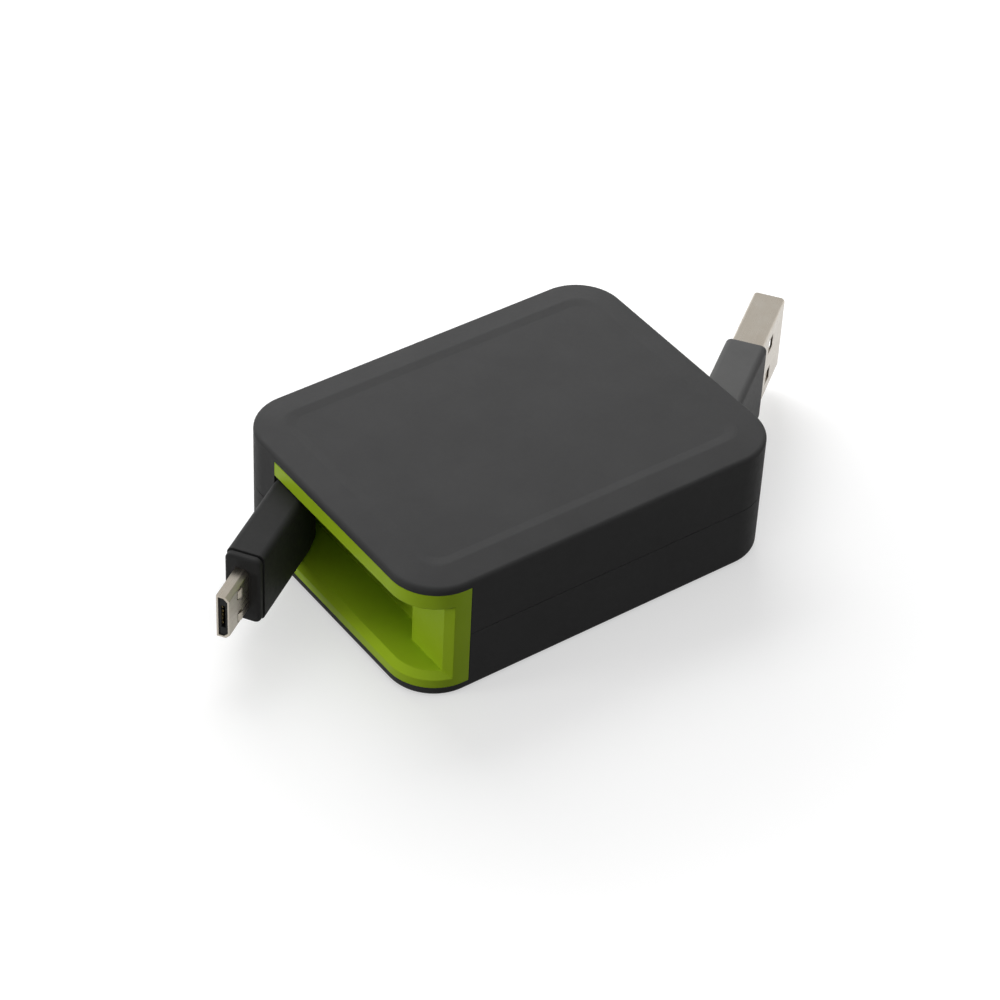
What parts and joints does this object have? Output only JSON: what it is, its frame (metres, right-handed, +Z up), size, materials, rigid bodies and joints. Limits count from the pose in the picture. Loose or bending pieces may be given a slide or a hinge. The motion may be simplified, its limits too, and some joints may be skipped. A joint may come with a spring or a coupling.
{
  "type": "retractable charging cable",
  "caption": "Palm-sized case with a spring-wound flat cable; a small and a large plug fold out of coloured docks at its two ends.",
  "frame": {"origin": "centre of the case's flat bottom face", "axes": "+Z up out of the bottom face, +X along the case's long side towards the large plug's end, with both plugs swung open"},
  "size_m": [0.0972, 0.0438, 0.0188],
  "materials": {
    "shell_black": "soft-touch charcoal black, matte",
    "dock_green": "lime green moulded plastic, satin",
    "screw_steel": "blackened steel",
    "axle_steel": "ground steel",
    "spool_plastic": "natural white moulded plastic",
    "washer_plastic": "white sheet plastic",
    "cover_steel": "thin sheet steel",
    "spring_steel": "blue-grey spring steel",
    "cable_black": "matte black flat cable jacket",
    "overmould_black": "matte black soft overmould",
    "overmould_charcoal": "matte charcoal soft overmould",
    "plug_metal": "warm nickel-plated sheet metal",
    "insulator_black": "black moulded insulator",
    "contact_gold": "gold-plated contact"
  },
  "bodies": {
    "case": {"top_shell": "shell_black", "bottom_shell": "shell_black", "micro_dock": "dock_green", "usb_a_dock": "dock_green", "case_screws": "screw_steel", "axle_pin": "axle_steel", "spring_arbor": "spool_plastic", "thrust_washer": "washer_plastic", "latch_plate": "spool_plastic"},
    "spool": {"spool_drum": "spool_plastic", "spool_flange": "spool_plastic", "spring_cover": "cover_steel", "mainspring": "spring_steel", "cable_winding": "cable_black"},
    "latch": {"latch_ball": "axle_steel"},
    "micro_lead": {"micro_cable_lead": "cable_black"},
    "usb_a_lead": {"usb_a_cable_lead": "cable_black"},
    "micro_plug": {"micro_overmould": "overmould_black", "micro_shell": "plug_metal", "micro_insulator": "insulator_black", "micro_contacts": "contact_gold", "micro_latches": "plug_metal"},
    "usb_a_plug": {"usb_a_overmould": "overmould_charcoal", "usb_a_shell": "plug_metal", "usb_a_insulator": "insulator_black", "usb_a_contacts": "contact_gold"}
  },
  "joints": [
    {"name": "spool_spin", "type": "hinge", "parent": "case", "child": "spool", "pos_m": [0, 0, 0.0094], "axis": [0, 0, 1], "range_deg": [0, 1800], "stiffness_Nm_per_rad": 0.0003, "springref_deg": -1145.92, "deforming": ["mainspring", "cable_winding"]},
    {"name": "micro_pull", "type": "slide", "parent": "case", "child": "micro_lead", "axis": [-0.9487, -0.3162, 0], "range_m": [0, 0.42], "deforming": ["micro_cable_lead"]},
    {"name": "usb_a_pull", "type": "slide", "parent": "case", "child": "usb_a_lead", "axis": [0.9415, 0.3372, 0], "range_m": [0, 0.42], "deforming": ["usb_a_cable_lead"]},
    {"name": "micro_swing", "type": "hinge", "parent": "micro_lead", "child": "micro_plug", "pos_m": [-0.0264, 0.0103, 0.0094], "axis": [0, 0, 1], "range_deg": [-2, 56.8]},
    {"name": "usb_a_swing", "type": "hinge", "parent": "usb_a_lead", "child": "usb_a_plug", "pos_m": [0.0261, -0.0099, 0.0094], "axis": [0, 0, 1], "range_deg": [-2, 54.1]},
    {"name": "latch_slide", "type": "slide", "parent": "case", "child": "latch", "axis": [0, 1, 0], "range_m": [0, 0.004]}
  ],
  "couplings": [
    {"joint": "micro_pull", "follows": "spool_spin", "m_per_rad": 0.013368},
    {"joint": "usb_a_pull", "follows": "spool_spin", "m_per_rad": 0.013368}
  ]
}
